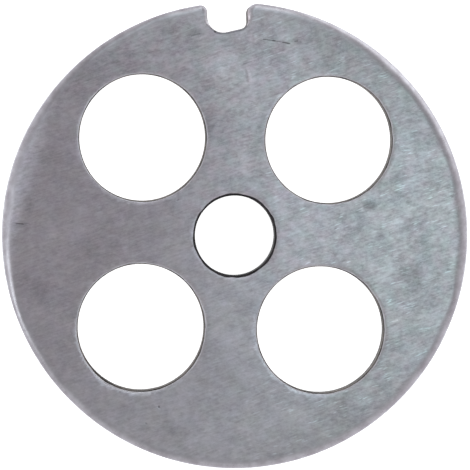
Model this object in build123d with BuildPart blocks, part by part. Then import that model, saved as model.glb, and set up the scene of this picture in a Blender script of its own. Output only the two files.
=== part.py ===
"""Meat grinder plate, size 12: a steel disc that closes the barrel of a meat grinder.

The plate is one piece. A bore in the middle carries the end of the feed screw, the knife turns
against one ground face, and meat leaves through the four feed holes. The rim has a notch that
slides over a pin in the barrel, so that the plate can't turn with the knife. Both faces are
finished alike, and the plate is turned over when one face is worn.

The origin is the centre of the bore, halfway between the faces. +Z is the bore axis and +Y
points through the notch.
"""
from build123d import *
import os

# Disc
plate_diameter = 70.0
plate_thickness = 8.0

# Bevel round the whole outline, on both faces
bevel_width = 0.8  # inwards from the rim
bevel_drop = 0.35  # down from the face
bevel_blend_radius = 2.0  # where the bevel meets the face

# Bore for the end of the feed screw
bore_diameter = 12.0
bore_chamfer = 0.4

# Feed holes
feed_hole_diameter = 19.0
feed_circle_diameter = 39.5
first_hole_angle = 41.8  # from +X
hole_edge_break = 0.25
# The holes are drilled by eye, and each strays from its even place on the circle:
# outwards in millimetres, then round the circle in degrees.
hole_strays = [(0.35, 1.7), (0.45, -0.5), (-0.05, 0.5), (-0.65, -1.6)]

# Notch for the pin in the barrel, with a root that climbs from left to right
notch_width = 6.0
notch_depth = 4.4  # from the rim to the root, on the notch's centre line
notch_root_climb = 1.15  # from the left wall to the right wall
left_root_radius = 2.4
right_root_radius = 1.0
left_lip_radius = 0.2  # on the face; the bevel's width is added at the rim
right_lip_radius = 0.7  # likewise

plate_radius = plate_diameter / 2
top = plate_thickness / 2
feed_circle_radius = feed_circle_diameter / 2
hole_spacing_angle = 360 / len(hole_strays)

# Corners of the notch, which is cut in from well outside the rim
right_wall = notch_width / 2
left_wall = -right_wall
outside = plate_radius + notch_depth
root = plate_radius - notch_depth
left_root = (left_wall, root - notch_root_climb / 2)
right_root = (right_wall, root + notch_root_climb / 2)
left_lip = (left_wall, plate_radius)
right_lip = (right_wall, plate_radius)
corner_radii = [
    (left_root, left_root_radius),
    (right_root, right_root_radius),
    (left_lip, bevel_width + left_lip_radius),
    (right_lip, bevel_width + right_lip_radius),
]

with BuildPart() as grinder_plate:
    # Disc with the notch in its outline
    with BuildSketch(Plane.XY.offset(-top)) as outline:
        Circle(plate_radius)
        with BuildLine():
            Polyline(left_root, right_root, (right_wall, outside), (left_wall, outside), close=True)
        make_face(mode=Mode.SUBTRACT)
        for corner, radius in corner_radii:
            fillet(outline.vertices().sort_by_distance(corner)[0], radius)
    extrude(amount=plate_thickness)

    # Bevel that runs along the rim and round into the notch
    for end in (0, -1):
        face = grinder_plate.faces().sort_by(Axis.Z)[end]
        chamfer(face.edges(), length=bevel_width, length2=bevel_drop, reference=face)
    for end in (0, -1):
        fillet(grinder_plate.faces().sort_by(Axis.Z)[end].edges(), bevel_blend_radius)

    # Bore
    Hole(bore_diameter / 2)
    chamfer(grinder_plate.edges(Select.LAST).filter_by(GeomType.CIRCLE), bore_chamfer)

    # Feed holes
    for number, (outwards, around) in enumerate(hole_strays):
        angle = first_hole_angle + number * hole_spacing_angle + around
        with PolarLocations(feed_circle_radius + outwards, 1, start_angle=angle):
            Hole(feed_hole_diameter / 2)
        chamfer(grinder_plate.edges(Select.LAST).filter_by(GeomType.CIRCLE), hole_edge_break)

grinder_plate.part.label = "grinder_plate"

os.makedirs("parts", exist_ok=True)
export_step(grinder_plate.part, "parts/grinder_plate.step")
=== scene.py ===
"""Looks of the meat grinder plate: a detailed steel disc, its worn ground finish, floor, light and camera.

Lengths are in millimetres in the plate's own frame, with the notch at +Y, and are turned into metres when
a mesh is made. The plate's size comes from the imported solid, and the new mesh stays inside its box.
"""
import math

import bmesh
import bpy
import numpy as np
from mathutils import Matrix, Vector
from mathutils.geometry import delaunay_2d_cdt


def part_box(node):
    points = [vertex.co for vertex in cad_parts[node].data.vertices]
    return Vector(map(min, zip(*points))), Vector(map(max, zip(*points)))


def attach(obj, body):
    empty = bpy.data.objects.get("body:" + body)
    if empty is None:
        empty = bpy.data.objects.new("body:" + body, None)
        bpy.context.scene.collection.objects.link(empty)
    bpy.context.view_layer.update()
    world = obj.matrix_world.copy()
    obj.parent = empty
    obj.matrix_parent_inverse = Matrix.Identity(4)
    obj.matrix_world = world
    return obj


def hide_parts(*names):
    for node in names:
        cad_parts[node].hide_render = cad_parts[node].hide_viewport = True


MM = 0.001
SEED = 12

# ---- The plate's sizes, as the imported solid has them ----
NODE = "grinder_plate"
BEVEL_WIDTH = 0.8
BEVEL_DROP = 0.35
BORE_RADIUS = 6.0
BORE_CHAMFER = 0.3
FEED_RADIUS = 9.5
FEED_CIRCLE_RADIUS = 19.75
FIRST_HOLE_ANGLE = 41.8
# How far each feed hole is off its even place: outwards in millimetres, and round the plate in degrees
HOLE_STRAYS = [(0.35, 1.7), (0.45, -0.5), (-0.05, 0.5), (-0.65, -1.6)]
EDGE_BREAK = 0.25
NOTCH_HALF_WIDTH = 3.0
NOTCH_DEPTH = 4.4
ROOT_CLIMB = 1.15  # how much the notch's floor climbs from left to right
LEFT_ROOT_RADIUS = 2.4
RIGHT_ROOT_RADIUS = 1.0
LEFT_LIP_RADIUS = BEVEL_WIDTH + 0.2
RIGHT_LIP_RADIUS = BEVEL_WIDTH + 0.7

# ---- Worn edges ----
RIM_BEVELS = [  # angle round the rim in degrees, and the bevel's width there
    (0, 1.05), (45, 1.0), (72, 0.6), (105, 0.55), (130, 0.7), (170, 1.1), (195, 0.66),
    (225, 0.6), (270, 0.7), (315, 0.82), (345, 1.0), (360, 1.05),
]
LIP_BEVEL = 0.5
ROOT_BEVEL = 0.12
LIP_ZONE = (3.6, 7.5)  # distance from the notch's middle over which the rim's bevel narrows
ROOT_ZONE = (31.2, 32.6)  # distance from the bore over which the notch's bevel narrows
NOTCH_FINISH_REACH = 0.4  # how far past the notch's walls its milled finish, painted dark as shade, goes on the lips
BEVEL_WANDER = 0.08
# A worn edge's section, with sizes as shares of the bevel's width and drop: its steepest angle in degrees,
# the width that rolls over, the width of the corner that turns down into the wall, and its steps
ROLLED_RIM = (42.0, 1.6, 0.08, 13)
BROKEN_EDGE = (30.0, 0.55, 0.55, 4)  # the same for the holes
RIM_DROP = 1.3  # the worn rim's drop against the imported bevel's slope
CORNER_DEPTHS = (1.0, 1.2, 1.5)  # where the corner starts, turns and ends
CORNER_STRIPS = 4
# Where a hole's edge is broken wider: the hole's number, with the bore as 0, the angle round the hole and the
# spread in degrees, and the extra width
WIDE_BREAKS = [(3, 235.0, 45.0, 0.2), (3, 320.0, 25.0, 0.08), (4, 315.0, 35.0, 0.06)]
BREAK_WANDER = 0.12
WAVE_ORDERS = range(2, 32, 3)  # how often the parts of a wandering edge go up and down round its circle
WAVE_SCALE = math.sqrt(6)

# ---- Mesh density ----
OUTLINE_STEP = 0.3
HOLE_STEP = 0.3
FACE_STEP = 0.65
FACE_GAP = 0.4 * FACE_STEP  # how far the face's inner points stay from its edges
MARK_REACH = 2.5  # how far the finer points go from a mark, in its half widths
WALL_ROWS = 7
MESH_SLACK = 1e-7

# ---- View ----
IMAGE_PIXELS = 470
PLATE_PIXELS = 466.3  # the plate's width in the picture
PLATE_CENTRE_PIXELS = (234.95, 235.6)
NOTCH_ANGLE = 92.0  # degrees, where the notch stands in the picture
CAMERA_DISTANCE = 1.5  # metres
CAMERA_TILT = 1.6  # degrees off the plate's axis
CAMERA_TILT_TOWARDS = 152.0  # degrees, in the picture
CAMERA_CLIP = (0.01, 20.0)  # metres
SENSOR = 36.0

# ---- Light, with lengths in metres ----
# Name, angle in the picture and tilt off the plate's axis in degrees, distance, width, height, radiance,
# colour. Each light faces the plate.
LIGHTS = [
    ("softbox", -1.0, 21.0, 0.11, 0.055, 0.06, 0.74, (0.785, 0.976, 1.0)),
    ("side_lamp", 193.0, 47.0, 0.5, 0.14, 0.19, 1.65, (0.94, 1.0, 0.99)),
    ("left_glow", 168.0, 22.0, 0.5, 0.08, 0.08, 0.45, (0.96, 1.0, 0.99)),
    ("bottom_glow", 262.0, 30.0, 0.6, 0.8, 0.5, 0.21, (0.96, 1.0, 0.975)),
    ("top_glow", 90.0, 22.0, 0.6, 0.26, 0.3, 0.68, (0.84, 0.98, 1.0)),
    ("top_light", 87.0, 46.0, 0.6, 0.18, 0.24, 1.2, (0.95, 1.0, 0.99)),
    ("wall_light", 45.0, 71.0, 0.6, 0.54, 0.26, 0.75, (0.95, 1.0, 0.99)),
]
ENERGY_SHARE = 4  # an area light's energy is this times its area and radiance
WORLD_COLOUR = (1.0, 0.97, 0.985, 1.0)
WORLD_SIDE, WORLD_TOP = 1.0, 0.385  # the studio's walls are brighter than its ceiling
WORLD_SIDE_HEIGHT, WORLD_TOP_HEIGHT = 0.4, 0.94  # where the walls end and the ceiling begins, 0 to 1
FLOOR_REACH = 3.0
FLOOR_GAP = 0.02  # millimetres, so that the floor and the plate's underside never share a plane
FLOOR_COLOUR = (0.92, 0.92, 0.92, 1.0)
FLOOR_GLOW = 0.92  # the floor is lit from below as well, so that it stays white inside the holes

# ---- Wear and painted light, with places in the picture's pixels and sizes in millimetres ----
CROWN_START = 31.5  # the face falls away gently from here to the rim
CROWN_DROP = 0.09
ROLLED_ANGLE, ROLLED_REACH, ROLLED_DROP = 168.0, 24.0, 0.16  # the rim is rolled over here
# Each mark: its path, its half width and depth in millimetres, and its change in tone. A few are painted
# highlights and painted shadows, with no depth.
MARK_AND_PAINTED_LIGHT_PIXELS = [
    ([(263.5, 39.2), (270.0, 40.4), (275.0, 41.0)], 0.1, 0.03, -0.5),
    ([(273.0, 40.8), (280.0, 41.9), (289.3, 43.7)], 0.11, 0.04, -0.36),
    ([(283.0, 42.3), (289.0, 43.6)], 0.12, 0.02, -0.3),
    ([(295.0, 41.3), (297.5, 41.0)], 0.1, 0.02, -0.3),
    ([(191.5, 36.0), (199.5, 34.0)], 0.12, 0.02, -0.3),
    ([(16.0, 223.6), (23.0, 224.2)], 0.1, 0.03, -0.5),
    ([(14.0, 223.2), (29.0, 223.8)], 0.1, 0.02, -0.15),
    ([(158.8, 406.6), (159.0, 407.4)], 0.14, 0.05, -0.6),
    ([(145.6, 423.2), (146.2, 423.6)], 0.12, 0.03, -0.35),
    ([(177.2, 200.6), (178.2, 199.8)], 0.12, 0.03, -0.3),
    ([(154.5, 387.0), (155.6, 390.4)], 0.1, 0.04, -0.45),
    ([(245.6, 70.5), (247.4, 81.5)], 0.19, 0.02, -0.22),
    ([(249.2, 71.0), (250.8, 79.0)], 0.17, 0.0, 0.16),
    ([(243.5, 64.0), (251.5, 61.4)], 0.1, 0.01, -0.25),
    # painted highlights on the notch's right lip
    ([(252.5, 4.5), (249.5, 8.0), (248.2, 18.0)], 0.3, 0.0, 0.35),
    ([(248.8, 17.4), (248.7, 18.8)], 0.2, 0.0, 0.7),
    # painted shadow along the notch's root
    ([(207.0, 24.4), (209.6, 27.0), (215.2, 31.6)], 0.14, 0.0, -0.35),
    (
        [(215.2, 31.6), (220.9, 33.4), (227.4, 32.7), (236.6, 30.7), (243.0, 29.2), (246.2, 26.6)],
        0.18, 0.0, -0.5,
    ),
    ([(238.0, 62.6), (246.0, 59.4)], 0.12, 0.0, 0.16),
    ([(393.5, 321.6), (397.5, 320.4)], 0.12, 0.0, 0.3),
]
MARK_EDGE = (0.5, 1.6)  # where a mark's tone begins to fade and is gone, in its half widths
# Each stain: its middle in pixels, half length and width in millimetres, turn in degrees, change in tone
STAIN_PIXELS = [
    ((370.0, 205.5), 1.3, 0.8, 10.0, -0.42),
    ((414.0, 224.0), 1.8, 1.3, 30.0, -0.17),
    ((425.0, 243.0), 1.7, 1.5, 80.0, -0.17),
    ((408.0, 274.0), 2.3, 1.2, 15.0, -0.17),
    ((401.0, 177.0), 1.3, 1.0, 0.0, -0.16),
    ((381.0, 232.0), 0.9, 1.5, 0.0, -0.13),
    ((357.0, 238.0), 1.1, 1.1, 0.0, -0.1),
    ((410.0, 330.0), 1.8, 0.7, 20.0, -0.12),
    ((228.0, 68.0), 3.4, 3.0, 0.0, 0.13),
    ((243.0, 158.0), 1.0, 2.6, 0.0, 0.12),
    ((224.0, 125.0), 1.3, 3.4, 0.0, -0.05),
    ((211.0, 122.0), 0.8, 2.8, 0.0, -0.15),
    ((196.0, 32.0), 1.1, 0.5, 10.0, -0.2),
    ((287.0, 37.0), 1.2, 0.55, 0.0, 0.16),
    ((298.0, 41.5), 0.8, 0.5, -20.0, -0.25),
    ((168.0, 28.0), 1.6, 1.2, 0.0, -0.12),
    ((40.0, 292.0), 1.5, 2.2, 0.0, -0.1),
    ((27.0, 205.0), 1.0, 2.0, 0.0, -0.1),
    ((20.0, 225.0), 1.6, 0.5, 5.0, -0.16),
    ((60.0, 232.0), 3.0, 1.5, 15.0, 0.07),
    ((156.0, 225.0), 1.6, 3.0, 0.0, -0.06),
    ((360.0, 401.0), 1.1, 0.7, 20.0, 0.2),
    ((367.0, 384.0), 1.0, 0.6, 20.0, 0.16),
    ((432.0, 240.0), 0.8, 0.6, 20.0, 0.18),
    ((397.0, 223.0), 1.0, 0.7, 20.0, 0.16),
    ((240.0, 82.0), 7.0, 8.5, 0.0, 0.09),
    ((428.0, 272.0), 5.5, 3.2, 75.0, -0.13),
    ((412.0, 305.0), 4.0, 3.0, 60.0, -0.06),
    ((95.0, 75.0), 6.0, 4.0, 45.0, -0.08),
    ((268.0, 92.0), 2.5, 2.5, 0.0, -0.08),
    ((322.0, 205.0), 2.5, 1.8, 0.0, -0.07),
    ((247.0, 300.0), 2.5, 4.0, 0.0, -0.05),
]
STAIN_EDGE = (0.4, 1.35)  # where a stain's tone begins to fade and is gone, in its half sizes
STAIN_RAGGED = 0.6  # how far the stains' edges wander, as a share of their size


def colour(red, green, blue):
    """A colour given as it reads on screen, 0 to 255, as the linear values that a shader takes."""
    def linear(level):
        level /= 255
        return level / 12.92 if level <= 0.04045 else ((level + 0.055) / 1.055) ** 2.4

    return (linear(red), linear(green), linear(blue), 1.0)


# ---- Finish ----
FACE, EDGE, WALL, BORE = range(4)  # the materials' numbers on the mesh
WHITE = (1.0, 1.0, 1.0, 1.0)
RIGHTWARDS = (1.0, 0.0, 0.0)
FLATTEN = (1.0, 1.0, 0.0)  # leaves a place without its height
STROKE_ANGLE = 13.0  # degrees, the grinding marks against the plate's +X
LIVELY_WAY = (0.8, 0.6, 0.0)  # the pattern is stronger this way across the plate
LEFT_SHADE_PLACE, LEFT_SHADE_SHAPE = (-26.0, 6.0, 0.0), (1.0, 0.72, 0.0)  # the middle and shape of the painted shade on the left
LEFT_SHADE_RAGGED = 10.0  # millimetres by which the painted shade's edge wanders
HIGHLIGHT_ANGLE = 166.0  # degrees in the picture, the middle of the stretch of rim on the left with a painted highlight
SHADED_ANGLE = 43.0  # degrees in the picture, the middle of the stretch inside the rim that is painted darker as shade
WAVER = (6.0, 0.35, 3)  # the patches over which the strokes bend, how far they do, and the seed
# Strokes: turn against STROKE_ANGLE in degrees, length and width in millimetres, seed, detail, roughness
GRAIN = (0.0, 1.0, 0.42, 1, 3.0, 0.85)
DRAWN = (4.0, 2.6, 0.3, 2, 1.0, 0.5)
CROSSING = (-34.0, 2.0, 0.3, 13, 1.0, 0.5)
# the strokes of the bright flecks, which are painted glints
GLINT_STROKES = (4.0, 1.4, 0.2, 7, 1.0, 0.5)
# Clouds: size in millimetres, seed, detail, roughness
TONE_CLOUD = (1.4, 4, 3.0, 0.8)
BROAD_CLOUD = (4.0, 5, 1.0, 0.5)
GLINT_CLOUD = (2.0, 9, 1.0, 0.5)
PINK_CLOUD = (2.1, 6, 1.0, 0.5)
BLUE_CLOUD = (2.4, 10, 1.0, 0.5)
# the ragged edge of the painted shade on the left
LEFT_SHADE_CLOUD = (9.0, 8, 1.0, 0.5)
RAGGED_CLOUD = (0.9, 41, 3.0, 0.7)
SMUDGE_CLOUD = (1.8, 11, 3.0, 0.7)
EDGE_GRAIN = (0.35, 12, 2.0, 0.5)
WALL_CLOUD, WALL_GRAIN = (3.5, 21, 2.0, 0.5), (0.3, 22, 2.0, 0.5)
BORE_CLOUD, BORE_GRAIN = (1.2, 31, 2.0, 0.5), (0.3, 32, 2.0, 0.5)
# Turned or bored lines: width in millimetres, seed
EDGE_LINES, WALL_LINES, BORE_LINES = (0.1, 13), (0.14, 23), (0.14, 33)
LINE_DRAW = 0.15  # the noise's scale along the lines
LINE_DETAIL, LINE_ROUGHNESS = 2.0, 0.6
SEED_STEP = (7.3, 3.1, 1.7)  # how far one seed's noise lies from the next one's
# Ramps: the two values between which each one runs, and where not 0 and 1, what it gives at both.
# Places are in millimetres from the bore, and patterns are noises of 0 to 1 or sums of them.
LIVELY = (-14.0, 9.0, 0.74, 0.92)
LIVELIER = (8.0, 20.0, 1.0, 1.08)
RIM_SPAN = (33.3, 34.6)  # the face turns into the rim
HIGHLIGHT_SPAN = (30.3, 34.6)
SHADED_SPAN = (28.5, 34.0, 0.0, -0.14)
TONE_SPAN = (-0.3, 0.3)
GLINT_SPAN = (0.93, 1.17)
# the painted glints grow stronger towards the right, where the light catches them
GLINT_SIDE_SPAN = (-3.0, 15.0, 0.25, 0.95)
PINK_SPAN = (0.74, 0.92, 0.9, 2.4)
LEFT_SHADE_SPAN, FAR_SPAN = (10.0, 41.0), (40.0, 54.0)
SMUDGE_SPAN = (0.3, 0.7)
# the rim's bevel painted lighter towards the right, where the light falls
RIM_PAINTED_LIGHT = (0.0, 25.0, 1.04, 1.14)
FACE_GLOSS = (0.45, 0.85, 0.4, 0.33)
EDGE_GLOSS = (0.3, 0.7, 0.36, 0.28)
SIDE_SPAN = (2.9, 3.4)  # heights over which the rim's side turns into its bevels
WALL_SPAN, BORE_SPAN = (0.38, 0.62), (0.35, 0.7)
MIDDLE_TONE = 0.65
RIM_GLOSS = -0.07  # what the rim adds to the face's roughness
HIGHLIGHT_ON_FACE, HIGHLIGHT_ON_RIM = 0.85, -0.75  # how much of the painted highlight shows on the face, and what the rim adds
WALL_SPECULAR = 0.2
FACE_ROUGHNESS, EDGE_ROUGHNESS, WALL_ROUGHNESS, FLOOR_ROUGHNESS = 0.42, 0.32, 0.6, 0.9
# Tints that the face's colour is multiplied by
# painted shade: the face darker and purplish on its left, lightest in the middle, a little darker on the
# right
LEFT_SHADE_TINT = (0.74, 0.665, 0.703, 1)
MIDDLE_TINT = (0.88, 0.846, 0.882, 1)
FAR_TINT = (0.79, 0.775, 0.787, 1)
RIM_TINT = (0.77, 0.781, 0.793, 1)
HIGHLIGHT_TINT = (1.74, 1.87, 1.9, 1)
PINKISH, GREENISH = (1.04, 0.98, 1.0, 1), (0.96, 1.02, 1.0, 1)
YELLOWISH, BLUISH = (0.995, 1.0, 0.97, 1), (1.0, 1.0, 1.03, 1)
# Colours, the darker and the brighter of each surface
DULL_FACE, BRIGHT_FACE = colour(136, 136, 139), colour(214, 216, 220)
# the colour of the painted glints
GLINT_COLOUR = colour(222, 232, 236)
RIM_DULL, RIM_BRIGHT = colour(172, 168, 174), colour(196, 194, 200)
EDGE_DULL, EDGE_BRIGHT = colour(166, 165, 172), colour(192, 193, 199)
SIDE_DULL, SIDE_BRIGHT = colour(112, 112, 116), colour(158, 158, 162)
# the walls' colours, painted dark as shade
WALL_SHADE_DARK, WALL_SHADE_LIGHT = colour(54, 50, 48), colour(116, 109, 106)
BORE_DARK, BORE_LIGHT = colour(22, 20, 22), colour(52, 49, 52)


def read_frame():
    """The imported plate's radius and half its thickness, in millimetres."""
    low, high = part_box(NODE)
    radius = (high[0] - low[0]) / 2 / MM
    top = (high[2] - low[2]) / 2 / MM
    return round(radius, 2), round(top, 3)


# ---------------------------------------------------------------- outlines


def arc(centre, radius, start, stop, step):
    """Points and outward directions along an arc from start to stop, in degrees, without the last point."""
    count = max(3, int(abs(math.radians(stop - start)) * radius / step))
    angles = np.radians(np.linspace(start, stop, count, endpoint=False))
    ray = np.column_stack((np.cos(angles), np.sin(angles)))
    return np.array(centre) + radius * ray, ray


def line(start, stop, normal, step):
    """Points and outward directions along a straight stretch, without the last point."""
    start, stop = np.array(start), np.array(stop)
    count = max(2, int(np.linalg.norm(stop - start) / step))
    along = np.linspace(0, 1, count, endpoint=False)[:, None]
    return start + along * (stop - start), np.tile(normal, (count, 1))


def join(stretches):
    """Stretches of points and directions as one closed loop."""
    return np.vstack([s[0] for s in stretches]), np.vstack([s[1] for s in stretches])


def notched_outline(radius):
    """The plate's outline with its notch, anticlockwise from the right lip."""
    slope = math.atan2(ROOT_CLIMB, 2 * NOTCH_HALF_WIDTH)
    slope_degrees = math.degrees(slope)
    up = np.array((-math.sin(slope), math.cos(slope)))
    root_middle = np.array((0.0, radius - NOTCH_DEPTH))

    def lip(side, lip_radius):
        """A lip's centre, and the angle at which it meets the rim."""
        x = side * (NOTCH_HALF_WIDTH + lip_radius)
        y = math.sqrt((radius - lip_radius) ** 2 - x**2)
        return np.array((x, y)), math.degrees(math.atan2(y, x))

    def root(side, root_radius):
        """The centre of a corner between the notch's wall and its floor."""
        x = side * (NOTCH_HALF_WIDTH - root_radius)
        along = (x + math.sin(slope) * root_radius) / math.cos(slope)
        base = root_middle + along * np.array((math.cos(slope), math.sin(slope)))
        return base + up * root_radius

    left_lip, left_angle = lip(-1, LEFT_LIP_RADIUS)
    right_lip, right_angle = lip(1, RIGHT_LIP_RADIUS)
    left_root = root(-1, LEFT_ROOT_RADIUS)
    right_root = root(1, RIGHT_ROOT_RADIUS)
    fine = OUTLINE_STEP / 2

    def concave(centre, arc_radius, start, stop):
        """An arc with the metal outside it, so that outwards is towards its centre."""
        points, ray = arc(centre, arc_radius, start, stop, fine)
        return points, -ray

    return join([
        arc((0, 0), radius, left_angle, right_angle + 360, OUTLINE_STEP),
        arc(right_lip, RIGHT_LIP_RADIUS, right_angle, 180, fine),
        line((NOTCH_HALF_WIDTH, right_lip[1]), (NOTCH_HALF_WIDTH, right_root[1]), (-1.0, 0.0), fine),
        concave(right_root, RIGHT_ROOT_RADIUS, 0, slope_degrees - 90),
        line(right_root - up * RIGHT_ROOT_RADIUS, left_root - up * LEFT_ROOT_RADIUS, up, fine),
        concave(left_root, LEFT_ROOT_RADIUS, slope_degrees - 90, -180),
        line((-NOTCH_HALF_WIDTH, left_root[1]), (-NOTCH_HALF_WIDTH, left_lip[1]), (1.0, 0.0), fine),
        arc(left_lip, LEFT_LIP_RADIUS, 0, left_angle, fine),
    ])


def hole_centres():
    """The middles of the four feed holes."""
    centres = []
    for number, (outwards, around) in enumerate(HOLE_STRAYS):
        angle = math.radians(FIRST_HOLE_ANGLE + number * 360 / len(HOLE_STRAYS) + around)
        reach = FEED_CIRCLE_RADIUS + outwards
        centres.append((reach * math.cos(angle), reach * math.sin(angle)))
    return centres


def hole_outline(centre, radius):
    """A hole's wall, clockwise, with directions that point out of the metal and into the hole."""
    points, ray = arc(centre, radius, 360, 0, HOLE_STEP)
    return points, -ray


# ---------------------------------------------------------------- surface relief


def from_picture(x, y):
    """A place in the picture, in pixels, as a place on the plate."""
    scale = 2 * PLATE_RADIUS / PLATE_PIXELS
    right = (x - PLATE_CENTRE_PIXELS[0]) * scale
    up = (PLATE_CENTRE_PIXELS[1] - y) * scale
    turn = math.radians(90 - NOTCH_ANGLE)
    return (
        right * math.cos(turn) - up * math.sin(turn),
        right * math.sin(turn) + up * math.cos(turn),
    )


def distance_to_path(points, path):
    """Each point's distance to a polyline."""
    nearest = np.full(len(points), np.inf)
    for start, stop in zip(path[:-1], path[1:]):
        start, stop = np.array(start), np.array(stop)
        run = stop - start
        along = np.clip((points - start) @ run / (run @ run), 0, 1)[:, None]
        nearest = np.minimum(nearest, np.linalg.norm(points - start - along * run, axis=1))
    return nearest


def wave(values, seed):
    """A smooth random curve through about -1 to 1 for values in radians, closed round the circle."""
    random = np.random.default_rng(seed)
    total = np.zeros(len(values))
    for order in WAVE_ORDERS:
        total += random.normal() * np.sin(order * values + random.uniform(0, 2 * math.pi))
    return total / WAVE_SCALE


def relief(points):
    """How far the worn face lies under the flat one: scratches, pits and a slight fall to the rim."""
    reach = np.linalg.norm(points, axis=1)
    fall = np.clip((reach - CROWN_START) / (PLATE_RADIUS - CROWN_START), 0, 1) ** 2
    away = np.degrees(np.arctan2(points[:, 1], points[:, 0])) % 360 - ROLLED_ANGLE
    depth = (CROWN_DROP + ROLLED_DROP * np.exp(-((away / ROLLED_REACH) ** 2))) * fall
    for path, width, cut, _ in MARKS_AND_PAINTED_LIGHT:
        gap = distance_to_path(points, path) / width
        depth += cut * np.exp(-(gap**2))
    return depth


# ---------------------------------------------------------------- mesh


def smooth_step(value, low, high):
    """0 below low, 1 above high and an even curve between them."""
    share = np.clip((value - low) / (high - low), 0, 1)
    return share * share * (3 - 2 * share)


def bend(start, corner, stop, count):
    """Points along a curve from start to stop that is pulled towards a corner, without the last point."""
    start, corner, stop = (np.array(point) for point in (start, corner, stop))
    share = np.linspace(0, 1, count, endpoint=False)[:, None]
    return (1 - share) ** 2 * start + 2 * share * (1 - share) * corner + share**2 * stop


def rolled_section(steepest, width, corner, steps):
    """A bevel that rolls over evenly from the face to its steepest angle, then turns down into the wall.

    Returns its insets and depths from the face on, as shares of the bevel's width and drop.
    """
    corner_start, corner_turn, corner_end = CORNER_DEPTHS
    turns = np.radians(np.linspace(0, steepest, steps))
    inset = width * (1 - np.sin(turns) / math.sin(turns[-1])) + corner
    depth = (1 - np.cos(turns)) / (1 - math.cos(turns[-1]))
    down = bend((corner, corner_start), (0.0, corner_turn), (0.0, corner_end), CORNER_STRIPS)[1:]
    return np.vstack([np.column_stack((inset, depth)), down, [(0.0, corner_end)]])


class PlateMesh:
    """Collects the plate's vertices and faces, in millimetres, each face with its material's number."""

    def __init__(self, top):
        self.top = top
        self.points = []
        self.faces = []
        self.finishes = []

    def ring(self, flat, heights):
        """Adds points and returns their numbers."""
        start = sum(len(block) for block in self.points)
        self.points.append(np.column_stack((flat, heights)))
        return np.arange(start, start + len(flat))

    def band(self, first, second, finish):
        """Faces between two rings, with one finish or one for each point."""
        self.faces += zip(first, np.roll(first, -1), np.roll(second, -1), second)
        self.finishes += list(np.broadcast_to(finish, len(first)))

    def wall(self, points, outward, widths, drops, section, finishes):
        """A loop's upper edge, wall and lower edge. Returns the rings where it meets the two faces."""
        edge_finish, wall_finish = finishes
        rings = {}
        for side in (1, -1):
            rings[side] = []
            for inset, depth in section:
                place = points - outward * (widths * inset)[:, None]
                below = drops * depth
                worn = relief(place) if side > 0 else 0
                rings[side].append(self.ring(place, side * (self.top - below - worn)))
            strips = list(zip(rings[side][:-1], rings[side][1:]))
            for number, (first, second) in enumerate(strips):
                # the corner takes the wall's finish, which on the feed holes and the notch is painted shade
                on_corner = number >= len(strips) - CORNER_STRIPS
                self.band(first, second, wall_finish if on_corner else edge_finish)
        upper, lower = rings[1][-1], rings[-1][-1]
        every = np.vstack(self.points)
        last = upper
        for row in range(1, WALL_ROWS):
            share = row / WALL_ROWS
            middle = every[upper] * (1 - share) + every[lower] * share
            new = self.ring(middle[:, :2], middle[:, 2])
            self.band(last, new, wall_finish)
            last = new
        self.band(last, lower, wall_finish)
        return rings[1][0], rings[-1][0]

    def face(self, loops, inner, finish, side):
        """A flat face between its boundary loops, with inner points to carry its relief."""
        every = np.vstack(self.points)
        ids = np.concatenate(loops)
        flat = every[ids][:, :2]
        edges = []
        start = 0
        for loop in loops:
            count = len(loop)
            edges += [(start + i, start + (i + 1) % count) for i in range(count)]
            start += count
        worn = relief(inner) if side > 0 else np.zeros(len(inner))
        inner_ids = self.ring(inner, side * (self.top - worn))
        coordinates = [Vector(point) for point in np.vstack((flat, inner))]
        result = delaunay_2d_cdt(coordinates, edges, [], 0, MESH_SLACK)
        places, triangles, sources = result[0], result[2], result[3]
        numbers = np.concatenate((ids, inner_ids))
        to_id = [numbers[source[0]] for source in sources]
        corners = np.array([[places[i][:] for i in triangle] for triangle in triangles])
        middles = corners.mean(axis=1)
        boundaries = [every[loop][:, :2] for loop in loops]
        inside = within(middles, boundaries[0])
        for hole in boundaries[1:]:
            inside &= ~within(middles, hole)
        for triangle in np.array(triangles)[inside]:
            self.faces.append(tuple(to_id[i] for i in triangle))
            self.finishes.append(finish)

    def make(self, name, materials):
        """The collected mesh as a Blender object."""
        mesh = bpy.data.meshes.new(name)
        corners = [tuple(map(int, face)) for face in self.faces]
        mesh.from_pydata((np.vstack(self.points) * MM).tolist(), [], corners)
        for material in materials:
            mesh.materials.append(material)
        mesh.polygons.foreach_set("material_index", self.finishes)
        mesh.polygons.foreach_set("use_smooth", [True] * len(mesh.polygons))
        piece = bpy.data.objects.new(name, mesh)
        bpy.context.scene.collection.objects.link(piece)
        turn_faces_outwards(mesh)
        return piece


def turn_faces_outwards(mesh):
    work = bmesh.new()
    work.from_mesh(mesh)
    bmesh.ops.recalc_face_normals(work, faces=work.faces)
    work.to_mesh(mesh)
    work.free()


def within(points, loop):
    """Which points lie inside a closed loop."""
    inside = np.zeros(len(points), bool)
    for (x0, y0), (x1, y1) in zip(loop, np.roll(loop, -1, axis=0)):
        if y0 == y1:
            continue
        crosses = (points[:, 1] < y0) != (points[:, 1] < y1)
        inside ^= crosses & (points[:, 0] < (x1 - x0) * (points[:, 1] - y0) / (y1 - y0) + x0)
    return inside


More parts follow.
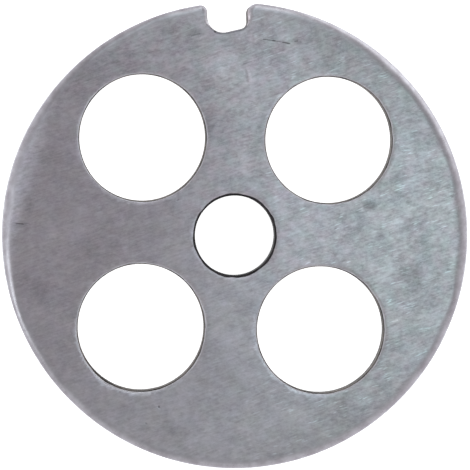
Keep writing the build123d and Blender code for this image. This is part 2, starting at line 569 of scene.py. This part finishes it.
def face_points(boundaries):
    """Evenly spread points over the face, closer together round the marks, clear of every edge."""
    rows = np.arange(-PLATE_RADIUS, PLATE_RADIUS, FACE_STEP * math.sqrt(3) / 2)
    grid = []
    for number, y in enumerate(rows):
        x = np.arange(-PLATE_RADIUS, PLATE_RADIUS, FACE_STEP) + (number % 2) * FACE_STEP / 2
        grid.append(np.column_stack((x, np.full(len(x), y))))
    grid = np.vstack(grid)
    keep = np.ones(len(grid), bool)
    fine = []
    for path, width, *_ in MARKS_AND_PAINTED_LIGHT:
        margin = (MARK_REACH + 0.5) * width
        low, high = np.min(path, axis=0) - margin, np.max(path, axis=0) + margin
        step = width / 2
        x, y = np.meshgrid(np.arange(low[0], high[0], step), np.arange(low[1], high[1], step))
        patch = np.column_stack((x.ravel(), y.ravel()))
        fine.append(patch[distance_to_path(patch, path) < MARK_REACH * width])
        keep &= distance_to_path(grid, path) > MARK_REACH * width + FACE_STEP / 2
    points = np.vstack([grid[keep]] + fine)
    keep = within(points, boundaries[0])
    for loop in boundaries[1:]:
        keep &= ~within(points, loop)
    points = points[keep]
    clear = np.ones(len(points), bool)
    for loop in boundaries:
        gaps = np.linalg.norm(points[:, None, :] - loop[None, ::2, :], axis=2).min(axis=1)
        clear &= gaps > FACE_GAP
    return points[clear]


def bevel_widths(points):
    """The bevel is widest on the rim, narrower round the lips and thin in the notch's root."""
    off_axis = np.abs(points[:, 0])
    reach = np.linalg.norm(points, axis=1)
    beside = np.where(points[:, 1] > 0, smooth_step(off_axis, *LIP_ZONE), 1.0)
    mouth = smooth_step(reach, *ROOT_ZONE)
    angles = np.arctan2(points[:, 1], points[:, 0])
    rim = np.interp(np.degrees(angles) % 360, *zip(*RIM_BEVELS))
    width = ROOT_BEVEL + (LIP_BEVEL - ROOT_BEVEL) * mouth + (rim - LIP_BEVEL) * beside
    return width * (1 + BEVEL_WANDER * wave(angles, SEED))


def build_plate():
    """The whole plate: its rim and notch, its bore as hole 0, its feed holes, and both faces."""
    plate = PlateMesh(PLATE_TOP)
    outline, outward = notched_outline(PLATE_RADIUS)
    widths = bevel_widths(outline)
    drops = widths * BEVEL_DROP / BEVEL_WIDTH * RIM_DROP
    # the notch's walls and corners take the wall's finish, painted shade
    in_notch = (np.abs(outline[:, 0]) < NOTCH_HALF_WIDTH + NOTCH_FINISH_REACH) & (outline[:, 1] > 0)
    finishes = (FACE, np.where(in_notch, WALL, EDGE))
    upper, lower = plate.wall(outline, outward, widths, drops, rolled_section(*ROLLED_RIM), finishes)
    top_loops, low_loops = [upper], [lower]
    holes = [((0.0, 0.0), BORE_RADIUS, BORE_CHAMFER, (BORE, BORE))]
    holes += [(centre, FEED_RADIUS, EDGE_BREAK, (EDGE, WALL)) for centre in hole_centres()]
    section = rolled_section(*BROKEN_EDGE)
    for number, (centre, radius, size, finishes) in enumerate(holes):
        points, inwards = hole_outline(centre, radius)
        angles = np.arctan2(inwards[:, 1], inwards[:, 0])
        sizes = size * (1 + BREAK_WANDER * wave(angles, SEED + 1 + number))
        for hole, middle, spread, extra in WIDE_BREAKS:
            if hole == number:
                away = (np.degrees(angles) - middle) % 360 - 180  # inwards is opposite the way out
                sizes += extra * np.exp(-((away / spread) ** 2))
        upper, lower = plate.wall(points, inwards, sizes, sizes, section, finishes)
        top_loops.append(upper)
        low_loops.append(lower)
    every = np.vstack(plate.points)
    boundaries = [every[loop][:, :2] for loop in top_loops]
    inner = face_points(boundaries)
    plate.face(top_loops, inner, FACE, 1)
    plate.face(low_loops, inner, FACE, -1)
    return plate.make("ground_plate", [face_steel(), edge_steel(), wall_steel(), bore_steel()])


# ---------------------------------------------------------------- materials


class Finish:
    """A material, with short ways to add the nodes that drive it."""

    def __init__(self, name, roughness, metallic=1.0):
        self.material = bpy.data.materials.new(name)
        self.material.use_nodes = True
        self.nodes = self.material.node_tree.nodes
        self.links = self.material.node_tree.links
        self.shader = self.nodes["Principled BSDF"]
        self.shader.inputs["Metallic"].default_value = metallic
        self.shader.inputs["Roughness"].default_value = roughness
        place = self.nodes.new("ShaderNodeTexCoord").outputs["Object"]
        self.place = self.vector("SCALE", place, scale=1 / MM)

    def put(self, socket, value):
        """Links a node's output to a socket, or sets a plain value on it."""
        if isinstance(value, bpy.types.NodeSocket):
            self.links.new(value, socket)
        else:
            socket.default_value = value

    def maths(self, operation, *values, clamp=False):
        node = self.nodes.new("ShaderNodeMath")
        node.operation = operation
        node.use_clamp = clamp
        for socket, value in zip(node.inputs, values):
            self.put(socket, value)
        return node.outputs[0]

    def vector(self, operation, first, second=None, scale=None):
        node = self.nodes.new("ShaderNodeVectorMath")
        node.operation = operation
        self.put(node.inputs[0], first)
        if second is not None:
            self.put(node.inputs[1], second)
        if scale is not None:
            self.put(node.inputs["Scale"], scale)
        return node.outputs["Value" if operation in ("LENGTH", "DISTANCE", "DOT_PRODUCT") else 0]

    def along(self, way):
        """How far the place lies in a direction."""
        return self.vector("DOT_PRODUCT", self.place, way)

    def waver(self, size, reach, seed):
        """Bends everything drawn after it, by up to about reach millimetres over patches of a size."""
        node = self.nodes.new("ShaderNodeTexNoise")
        patches = self.vector("SCALE", self.place, scale=1 / size)
        self.put(node.inputs["Vector"], self.vector("ADD", patches, (seed, 0, 0)))
        node.inputs["Scale"].default_value = 1.0
        node.inputs["Detail"].default_value = 1.0
        bent = self.vector("SUBTRACT", node.outputs["Color"], (0.5, 0.5, 0.5))
        self.place = self.vector("ADD", self.place, self.vector("SCALE", bent, scale=2 * reach))

    def stain(self, middle, half_length, half_width, angle):
        """The distance to the middle of a patch on the upper face, in its half sizes."""
        turn = self.nodes.new("ShaderNodeVectorRotate")
        turn.rotation_type = "Z_AXIS"
        self.put(turn.inputs["Vector"], self.vector("SUBTRACT", self.place, (*middle, PLATE_TOP)))
        self.put(turn.inputs["Angle"], math.radians(-angle))
        shape = (1 / half_length, 1 / half_width, 1 / half_width)
        return self.vector("LENGTH", self.vector("MULTIPLY", turn.outputs[0], shape))

    def beside(self, path):
        """The distance in millimetres to a path on the upper face."""
        nearest = None
        for start, stop in zip(path[:-1], path[1:]):
            start, stop = Vector((*start, PLATE_TOP)), Vector((*stop, PLATE_TOP))
            run = stop - start
            offset = self.vector("SUBTRACT", self.place, start[:])
            along = self.vector("DOT_PRODUCT", offset, (run / run.length_squared)[:])
            foot = self.vector("SCALE", run[:], scale=self.maths("MULTIPLY", along, 1.0, clamp=True))
            gap = self.vector("DISTANCE", offset, foot)
            nearest = gap if nearest is None else self.maths("MINIMUM", nearest, gap)
        return nearest

    def strokes(self, turned, length, width, seed, detail, roughness):
        """Noise drawn out into strokes of a length and width in millimetres, turned from STROKE_ANGLE."""
        turn = self.nodes.new("ShaderNodeVectorRotate")
        turn.rotation_type = "Z_AXIS"
        self.put(turn.inputs["Vector"], self.place)
        self.put(turn.inputs["Angle"], math.radians(-(STROKE_ANGLE + turned)))
        drawn = self.vector("MULTIPLY", turn.outputs[0], (1 / length, 1 / width, 1 / width))
        return self.noise(drawn, seed, detail, roughness)

    def clouds(self, size, seed, detail, roughness):
        """Soft noise with patches of a size in millimetres."""
        return self.noise(self.vector("SCALE", self.place, scale=1 / size), seed, detail, roughness)

    def rings(self, width, seed):
        """Noise drawn out into fine lines that run level round the plate's walls."""
        level = self.vector("MULTIPLY", self.place, (LINE_DRAW, LINE_DRAW, 1 / width))
        return self.noise(level, seed, LINE_DETAIL, LINE_ROUGHNESS)

    def height(self):
        """The distance in millimetres above or below the plate's middle."""
        split = self.nodes.new("ShaderNodeSeparateXYZ")
        self.put(split.inputs[0], self.place)
        return self.maths("ABSOLUTE", split.outputs["Z"])

    def noise(self, place, seed, detail, roughness):
        node = self.nodes.new("ShaderNodeTexNoise")
        self.put(node.inputs["Vector"], self.vector("ADD", place, tuple(seed * step for step in SEED_STEP)))
        node.inputs["Scale"].default_value = 1.0
        node.inputs["Detail"].default_value = detail
        node.inputs["Roughness"].default_value = roughness
        return node.outputs["Fac"]

    def ramp(self, value, low, high, start=0.0, stop=1.0):
        """Maps low..high smoothly to start..stop."""
        node = self.nodes.new("ShaderNodeMapRange")
        node.interpolation_type = "SMOOTHSTEP"
        for socket, number in zip(node.inputs, (value, low, high, start, stop)):
            self.put(socket, number)
        return node.outputs[0]

    def mix(self, share, first, second):
        """The first colour where share is 0, the second where it is 1."""
        node = self.nodes.new("ShaderNodeMix")
        node.data_type = "RGBA"
        self.put(node.inputs["Factor"], share)
        self.put(node.inputs["A"], first)
        self.put(node.inputs["B"], second)
        return node.outputs["Result"]

    def times(self, first, second):
        """Two colours multiplied."""
        node = self.nodes.new("ShaderNodeMix")
        node.data_type = "RGBA"
        node.blend_type = "MULTIPLY"
        node.inputs["Factor"].default_value = 1.0
        self.put(node.inputs["A"], first)
        self.put(node.inputs["B"], second)
        return node.outputs["Result"]

    def grey(self, value):
        """One value as a colour."""
        node = self.nodes.new("ShaderNodeCombineXYZ")
        for socket in node.inputs:
            self.put(socket, value)
        return node.outputs[0]

    def weigh(self, *parts):
        """A weighted sum of noises."""
        total = 0.0
        for value, weight in parts:
            total = self.maths("MULTIPLY_ADD", value, weight, total)
        return total

    def bump(self, heights):
        """Adds heights, each with its size in millimetres, to the surface."""
        total = None
        for height, size in heights:
            scaled = self.maths("MULTIPLY", height, size * MM)
            total = scaled if total is None else self.maths("ADD", total, scaled)
        node = self.nodes.new("ShaderNodeBump")
        node.inputs["Distance"].default_value = 1.0
        node.inputs["Strength"].default_value = 1.0
        self.put(node.inputs["Height"], total)
        self.put(self.shader.inputs["Normal"], node.outputs[0])


def blemishes_and_painted_light(finish):
    """The stains and marks of the upper face, with the painted highlights and shadows among the marks, as one
    factor for its colour.
    """
    ragged = finish.clouds(*RAGGED_CLOUD)
    ragged = finish.maths("MULTIPLY_ADD", ragged, 2 * STAIN_RAGGED, 1 - STAIN_RAGGED)
    total = 1.0
    for middle, half_length, half_width, angle, change in STAINS:
        reach = finish.maths("MULTIPLY", finish.stain(middle, half_length, half_width, angle), ragged)
        total = finish.maths("ADD", total, finish.ramp(reach, *STAIN_EDGE, change, 0.0))
    for path, width, _, change in MARKS_AND_PAINTED_LIGHT:
        fade = [share * width for share in MARK_EDGE]
        total = finish.maths("ADD", total, finish.ramp(finish.beside(path), *fade, change, 0.0))
    return total


def face_steel():
    """Ground steel: crossing strokes, cloudy tone and bright flecks painted as glints, under painted shade on
    the left.
    """
    finish = Finish("ground_face", FACE_ROUGHNESS)
    # What depends on the place alone, before the strokes are bent
    rightwards = finish.along(RIGHTWARDS)
    lively = finish.ramp(finish.along(LIVELY_WAY), *LIVELY)
    rim = finish.ramp(finish.vector("LENGTH", finish.vector("MULTIPLY", finish.place, FLATTEN)), *RIM_SPAN)
    # a painted highlight on the rim's stretch on the left
    painted_highlight = finish.ramp(finish.along(across(HIGHLIGHT_ANGLE)), *HIGHLIGHT_SPAN)
    # the distance from the painted shade on the left
    offset = finish.vector("MULTIPLY", finish.vector("SUBTRACT", finish.place, LEFT_SHADE_PLACE), LEFT_SHADE_SHAPE)
    away = finish.vector("LENGTH", offset)
    away = finish.maths("MULTIPLY_ADD", finish.clouds(*LEFT_SHADE_CLOUD), LEFT_SHADE_RAGGED, away)
    # painted shade on a stretch inside the rim
    shaded = finish.ramp(finish.along(across(SHADED_ANGLE)), *SHADED_SPAN)
    shaded = finish.maths("MULTIPLY", shaded, finish.maths("SUBTRACT", 1.0, rim))
    stains_and_shade = finish.maths("ADD", blemishes_and_painted_light(finish), shaded)

    # The ground pattern
    finish.waver(*WAVER)
    grain = finish.strokes(*GRAIN)
    drawn = finish.strokes(*DRAWN)
    crossing = finish.strokes(*CROSSING)
    cloud = finish.clouds(*TONE_CLOUD)
    broad = finish.clouds(*BROAD_CLOUD)
    tone = finish.weigh((grain, 0.38), (drawn, 0.2), (crossing, 0.1), (cloud, 0.38), (broad, 0.24))
    contrast = finish.maths("MULTIPLY", lively, finish.ramp(rightwards, *LIVELIER))
    spread = finish.maths("MULTIPLY", finish.maths("SUBTRACT", tone, MIDDLE_TONE), contrast)
    base = finish.mix(finish.ramp(spread, *TONE_SPAN), DULL_FACE, BRIGHT_FACE)
    # Bright flecks along the grind strokes: painted glints, kept mostly to the right, where the light catches
    # them
    painted_glint = finish.weigh((finish.strokes(*GLINT_STROKES), 1.0), (finish.clouds(*GLINT_CLOUD), 0.6))
    glint_side = finish.ramp(rightwards, *GLINT_SIDE_SPAN)
    painted_glint = finish.maths("MULTIPLY", finish.ramp(painted_glint, *GLINT_SPAN), glint_side)
    base = finish.mix(painted_glint, base, GLINT_COLOUR)

    # Its tints: small patches, from noise spread wider round its middle, then the painted shade, darkest and
    # purplish on the left
    pink = finish.maths("SUBTRACT", finish.clouds(*PINK_CLOUD), 0.5)
    pink = finish.maths("MULTIPLY_ADD", pink, finish.ramp(lively, *PINK_SPAN), 0.5)
    base = finish.times(base, finish.mix(pink, PINKISH, GREENISH))
    blue = finish.maths("MULTIPLY_ADD", finish.clouds(*BLUE_CLOUD), 2.0, -0.5)
    base = finish.times(base, finish.mix(blue, YELLOWISH, BLUISH))
    painted_shade = finish.mix(finish.ramp(away, *LEFT_SHADE_SPAN), LEFT_SHADE_TINT, MIDDLE_TINT)
    base = finish.times(base, finish.mix(finish.ramp(away, *FAR_SPAN), painted_shade, FAR_TINT))

    # The rim's bevel, then marks and stains with the painted shade inside the rim, then the painted highlight
    # on the left of the rim
    edge = finish.mix(finish.ramp(finish.clouds(*SMUDGE_CLOUD), *SMUDGE_SPAN), RIM_DULL, RIM_BRIGHT)
    # painted light: the rim's bevel lighter towards the right
    edge = finish.times(edge, finish.grey(finish.ramp(rightwards, *RIM_PAINTED_LIGHT)))
    base = finish.mix(rim, base, finish.times(edge, RIM_TINT))
    base = finish.times(base, finish.grey(stains_and_shade))
    painted_highlight = finish.maths("MULTIPLY", painted_highlight, finish.maths("MULTIPLY_ADD", rim, HIGHLIGHT_ON_RIM, HIGHLIGHT_ON_FACE))
    base = finish.times(base, finish.mix(painted_highlight, WHITE, HIGHLIGHT_TINT))
    finish.put(finish.shader.inputs["Base Color"], base)
    gloss = finish.maths("MULTIPLY_ADD", rim, RIM_GLOSS, finish.ramp(tone, *FACE_GLOSS))
    finish.put(finish.shader.inputs["Roughness"], gloss)
    finish.bump([(grain, 0.002), (drawn, 0.002), (cloud, 0.003)])
    return finish.material


def edge_steel():
    """The rim's side with its turned lines, and the smooth broken edges of the feed holes."""
    finish = Finish("turned_edge", EDGE_ROUGHNESS)
    smudge = finish.clouds(*SMUDGE_CLOUD)
    grain = finish.clouds(*EDGE_GRAIN)
    turned = finish.rings(*EDGE_LINES)
    tone = finish.weigh((smudge, 0.6), (grain, 0.4))
    base = finish.mix(finish.ramp(tone, *SMUDGE_SPAN), EDGE_DULL, EDGE_BRIGHT)
    lines = finish.weigh((turned, 0.6), (smudge, 0.25), (grain, 0.15))
    side = finish.mix(finish.ramp(lines, *SMUDGE_SPAN), SIDE_DULL, SIDE_BRIGHT)
    base = finish.mix(finish.ramp(finish.height(), *SIDE_SPAN), side, base)
    finish.put(finish.shader.inputs["Base Color"], base)
    finish.put(finish.shader.inputs["Roughness"], finish.ramp(tone, *EDGE_GLOSS))
    finish.bump([(grain, 0.0015), (smudge, 0.003), (turned, 0.004)])
    return finish.material


def bored_finish(name):
    """A dull wall. It isn't metallic, because a metal wall seen at a glance mirrors the white floor."""
    finish = Finish(name, WALL_ROUGHNESS, metallic=0.0)
    finish.shader.inputs["Specular IOR Level"].default_value = WALL_SPECULAR
    return finish


def wall_steel():
    """The feed holes' drilled walls and the notch's, dull, brownish and painted dark as shade."""
    finish = bored_finish("drilled_wall_painted_shade")
    bored = finish.rings(*WALL_LINES)
    grain = finish.clouds(*WALL_GRAIN)
    tone = finish.weigh((bored, 0.3), (finish.clouds(*WALL_CLOUD), 0.55), (grain, 0.15))
    base = finish.mix(finish.ramp(tone, *WALL_SPAN), WALL_SHADE_DARK, WALL_SHADE_LIGHT)
    finish.put(finish.shader.inputs["Base Color"], base)
    finish.bump([(grain, 0.004), (bored, 0.006)])
    return finish.material


def bore_steel():
    """The bore's edge and wall, near black."""
    finish = bored_finish("near_black_bore")
    bored = finish.rings(*BORE_LINES)
    tone = finish.weigh((bored, 0.5), (finish.clouds(*BORE_CLOUD), 0.5))
    base = finish.mix(finish.ramp(tone, *BORE_SPAN), BORE_DARK, BORE_LIGHT)
    finish.put(finish.shader.inputs["Base Color"], base)
    finish.bump([(finish.clouds(*BORE_GRAIN), 0.004), (bored, 0.006)])
    return finish.material


def floor_finish():
    """A plain pale floor that glows a little."""
    finish = Finish("pale_floor", FLOOR_ROUGHNESS, metallic=0.0)
    finish.shader.inputs["Base Color"].default_value = FLOOR_COLOUR
    finish.shader.inputs["Specular IOR Level"].default_value = 0.0
    finish.shader.inputs["Emission Color"].default_value = WHITE
    finish.shader.inputs["Emission Strength"].default_value = FLOOR_GLOW
    return finish.material


# ---------------------------------------------------------------- surroundings


def picture_axes():
    """The picture's right and up, as directions on the plate."""
    turn = math.radians(90 - NOTCH_ANGLE)
    right = Vector((math.cos(turn), math.sin(turn), 0))
    up = Vector((-math.sin(turn), math.cos(turn), 0))
    return right, up


def towards(angle, tilt):
    """A direction that leans off the plate's axis by tilt degrees, towards an angle in the picture."""
    right, up = picture_axes()
    lean = math.radians(tilt)
    way = right * math.cos(math.radians(angle)) + up * math.sin(math.radians(angle))
    return (way * math.sin(lean) + Vector((0, 0, 1)) * math.cos(lean)).normalized()


def across(angle):
    """A direction along the face, towards an angle in the picture."""
    return towards(angle, 90.0)[:]


def add_camera():
    """A long lens over the plate, aimed so that the plate falls on the picture where it should."""
    _, picture_up = picture_axes()
    back = towards(CAMERA_TILT_TOWARDS, CAMERA_TILT)
    up = (picture_up - back * picture_up.dot(back)).normalized()
    right = up.cross(back)
    pixel = 2 * PLATE_RADIUS * MM / PLATE_PIXELS
    middle = IMAGE_PIXELS / 2
    aim = Vector((0, 0, PLATE_TOP * MM))
    aim += right * (middle - PLATE_CENTRE_PIXELS[0]) * pixel
    aim -= up * (middle - PLATE_CENTRE_PIXELS[1]) * pixel
    data = bpy.data.cameras.new("camera")
    data.sensor_width = SENSOR
    data.lens = SENSOR * CAMERA_DISTANCE / (IMAGE_PIXELS * pixel)
    data.clip_start, data.clip_end = CAMERA_CLIP
    camera = bpy.data.objects.new("camera", data)
    axes = Matrix((right, up, back)).transposed().to_4x4()
    camera.matrix_world = Matrix.Translation(aim + back * CAMERA_DISTANCE) @ axes
    bpy.context.scene.collection.objects.link(camera)
    bpy.context.scene.camera = camera


def add_light(name, angle, tilt, distance, width, height, radiance, tone):
    """A soft light that faces the plate, from an angle in the picture and a tilt off the plate's axis."""
    data = bpy.data.lights.new(name, "AREA")
    data.shape = "RECTANGLE"
    data.size = width
    data.size_y = height
    data.energy = ENERGY_SHARE * width * height * radiance
    data.color = tone
    light = bpy.data.objects.new(name, data)
    way = towards(angle, tilt)
    light.location = way * distance
    light.rotation_euler = way.to_track_quat("Z", "Y").to_euler()
    bpy.context.scene.collection.objects.link(light)


def add_floor():
    """The stage under the plate, which isn't part of it."""
    mesh = bpy.data.meshes.new("floor")
    reach = FLOOR_REACH
    z = -(PLATE_TOP + FLOOR_GAP) * MM
    corners = [(-reach, -reach, z), (reach, -reach, z), (reach, reach, z), (-reach, reach, z)]
    mesh.from_pydata(corners, [], [(0, 1, 2, 3)])
    mesh.materials.append(floor_finish())
    floor = bpy.data.objects.new("floor", mesh)
    bpy.context.scene.collection.objects.link(floor)


def add_world():
    """The studio round the plate: bright walls that darken evenly towards the ceiling."""
    world = bpy.data.worlds.new("studio")
    world.use_nodes = True
    nodes, links = world.node_tree.nodes, world.node_tree.links
    way = nodes.new("ShaderNodeTexCoord")
    split = nodes.new("ShaderNodeSeparateXYZ")
    level = nodes.new("ShaderNodeMapRange")
    links.new(way.outputs["Generated"], split.inputs[0])
    links.new(split.outputs["Z"], level.inputs["Value"])
    level.inputs["From Min"].default_value = WORLD_SIDE_HEIGHT
    level.inputs["From Max"].default_value = WORLD_TOP_HEIGHT
    level.inputs["To Min"].default_value = WORLD_SIDE
    level.inputs["To Max"].default_value = WORLD_TOP
    background = nodes["Background"]
    background.inputs["Color"].default_value = WORLD_COLOUR
    links.new(level.outputs[0], background.inputs["Strength"])
    bpy.context.scene.world = world


# ---------------------------------------------------------------- the scene

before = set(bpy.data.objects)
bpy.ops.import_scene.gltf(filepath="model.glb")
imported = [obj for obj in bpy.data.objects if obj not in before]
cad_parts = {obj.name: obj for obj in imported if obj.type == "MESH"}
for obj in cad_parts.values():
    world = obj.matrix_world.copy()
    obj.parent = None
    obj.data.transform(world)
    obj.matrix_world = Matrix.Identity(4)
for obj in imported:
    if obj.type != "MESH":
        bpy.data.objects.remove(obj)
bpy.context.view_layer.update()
PLATE_RADIUS, PLATE_TOP = read_frame()
MARKS_AND_PAINTED_LIGHT = [([from_picture(*pixel) for pixel in pixels], *cut) for pixels, *cut in MARK_AND_PAINTED_LIGHT_PIXELS]
STAINS = [(from_picture(*pixel), *shape) for pixel, *shape in STAIN_PIXELS]

plate = build_plate()
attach(plate, "root")
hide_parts(NODE)

add_floor()
add_world()
for light in LIGHTS:
    add_light(*light)
add_camera()
bpy.context.scene.view_settings.view_transform = "Standard"
